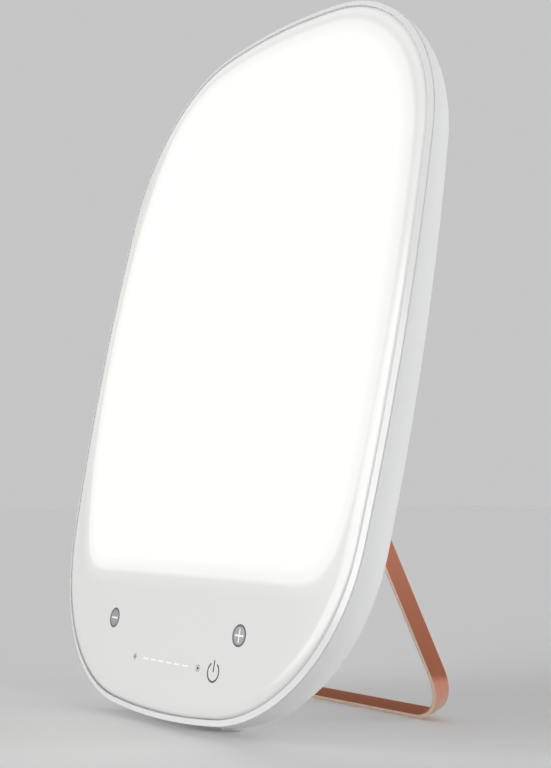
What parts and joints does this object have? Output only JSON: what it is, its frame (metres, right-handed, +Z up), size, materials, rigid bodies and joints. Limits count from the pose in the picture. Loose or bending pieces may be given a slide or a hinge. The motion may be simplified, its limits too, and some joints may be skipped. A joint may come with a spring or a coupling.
{
  "type": "light therapy lamp",
  "caption": "Rounded upright light panel with flush touch controls that leans back on a hinged metal strip stand.",
  "frame": {"origin": "on the table, at the bottom centre of the bounding box in the deployed pose", "axes": "+Z up, -Y the way the panel faces, +X to the viewer's right of the panel"},
  "size_m": [0.2904, 0.1326, 0.3865],
  "materials": {
    "cover_white": "fine satin moulded shell",
    "bezel_white": "glossy moulded ring",
    "panel_opal": "smooth opal sheet, lit from behind",
    "disc_grey": "glossy printed grey",
    "sign_white": "white print",
    "symbol_grey": "dark grey print",
    "window_white": "clear white light window",
    "diffuser": "frosted sheet",
    "reflector": "white reflector plastic",
    "tray_metal": "white painted sheet",
    "screw_steel": "zinc plated",
    "board_white": "white solder mask",
    "board_green": "green solder mask",
    "led_yellow": "phosphor over the chips",
    "chip_black": "black moulded packages",
    "spacer_nylon": "natural nylon",
    "pad_foam": "conductive foam",
    "guide_clear": "clear light guide",
    "inductor_ferrite": "dark ferrite",
    "capacitor_can": "plain can",
    "heatsink_alu": "anodised",
    "socket_black": "black moulding",
    "contact_metal": "nickel plated",
    "lead_grey": "flat ribbon lead",
    "lead_black": "black insulated flat lead",
    "stand_copper": "brushed, copper coloured plating",
    "hinge_steel": "plain steel",
    "bracket_metal": "light grey paint",
    "foot_rubber": "soft grey rubber"
  },
  "bodies": {
    "head": {"rear_cover": "cover_white", "bezel_ring": "bezel_white", "front_panel": "panel_opal", "minus_touch_disc": "disc_grey", "plus_touch_disc": "disc_grey", "touch_signs": "sign_white", "power_symbol": "symbol_grey", "level_windows": "window_white", "case_screws": "screw_steel", "led_tray": "tray_metal", "reflector_frame": "reflector", "diffuser_sheet": "diffuser", "led_strips": "board_white", "led_chips": "led_yellow", "control_board": "board_green", "board_spacers": "spacer_nylon", "touch_pads": "pad_foam", "indicator_leds": "led_yellow", "level_light_guides": "guide_clear", "control_chips": "chip_black", "driver_board": "board_green", "driver_inductors": "inductor_ferrite", "driver_capacitors": "capacitor_can", "driver_heatsink": "heatsink_alu", "dc_socket": "socket_black", "dc_contact": "contact_metal", "socket_nut": "hinge_steel", "ribbon_cable": "lead_grey", "led_lead": "lead_black", "power_lead": "lead_black", "hinge_bracket": "bracket_metal", "bracket_screws": "screw_steel", "front_feet": "foot_rubber"},
    "stand": {"stand_frame": "stand_copper", "hinge_pins": "hinge_steel", "pin_clips": "hinge_steel", "hinge_washers": "spacer_nylon"}
  },
  "joints": [
    {"name": "stand_hinge", "type": "hinge", "parent": "head", "child": "stand", "pos_m": [0, 0.00468, 0.16355], "axis": [-1, 0, 0], "range_deg": [0, 30]}
  ]
}
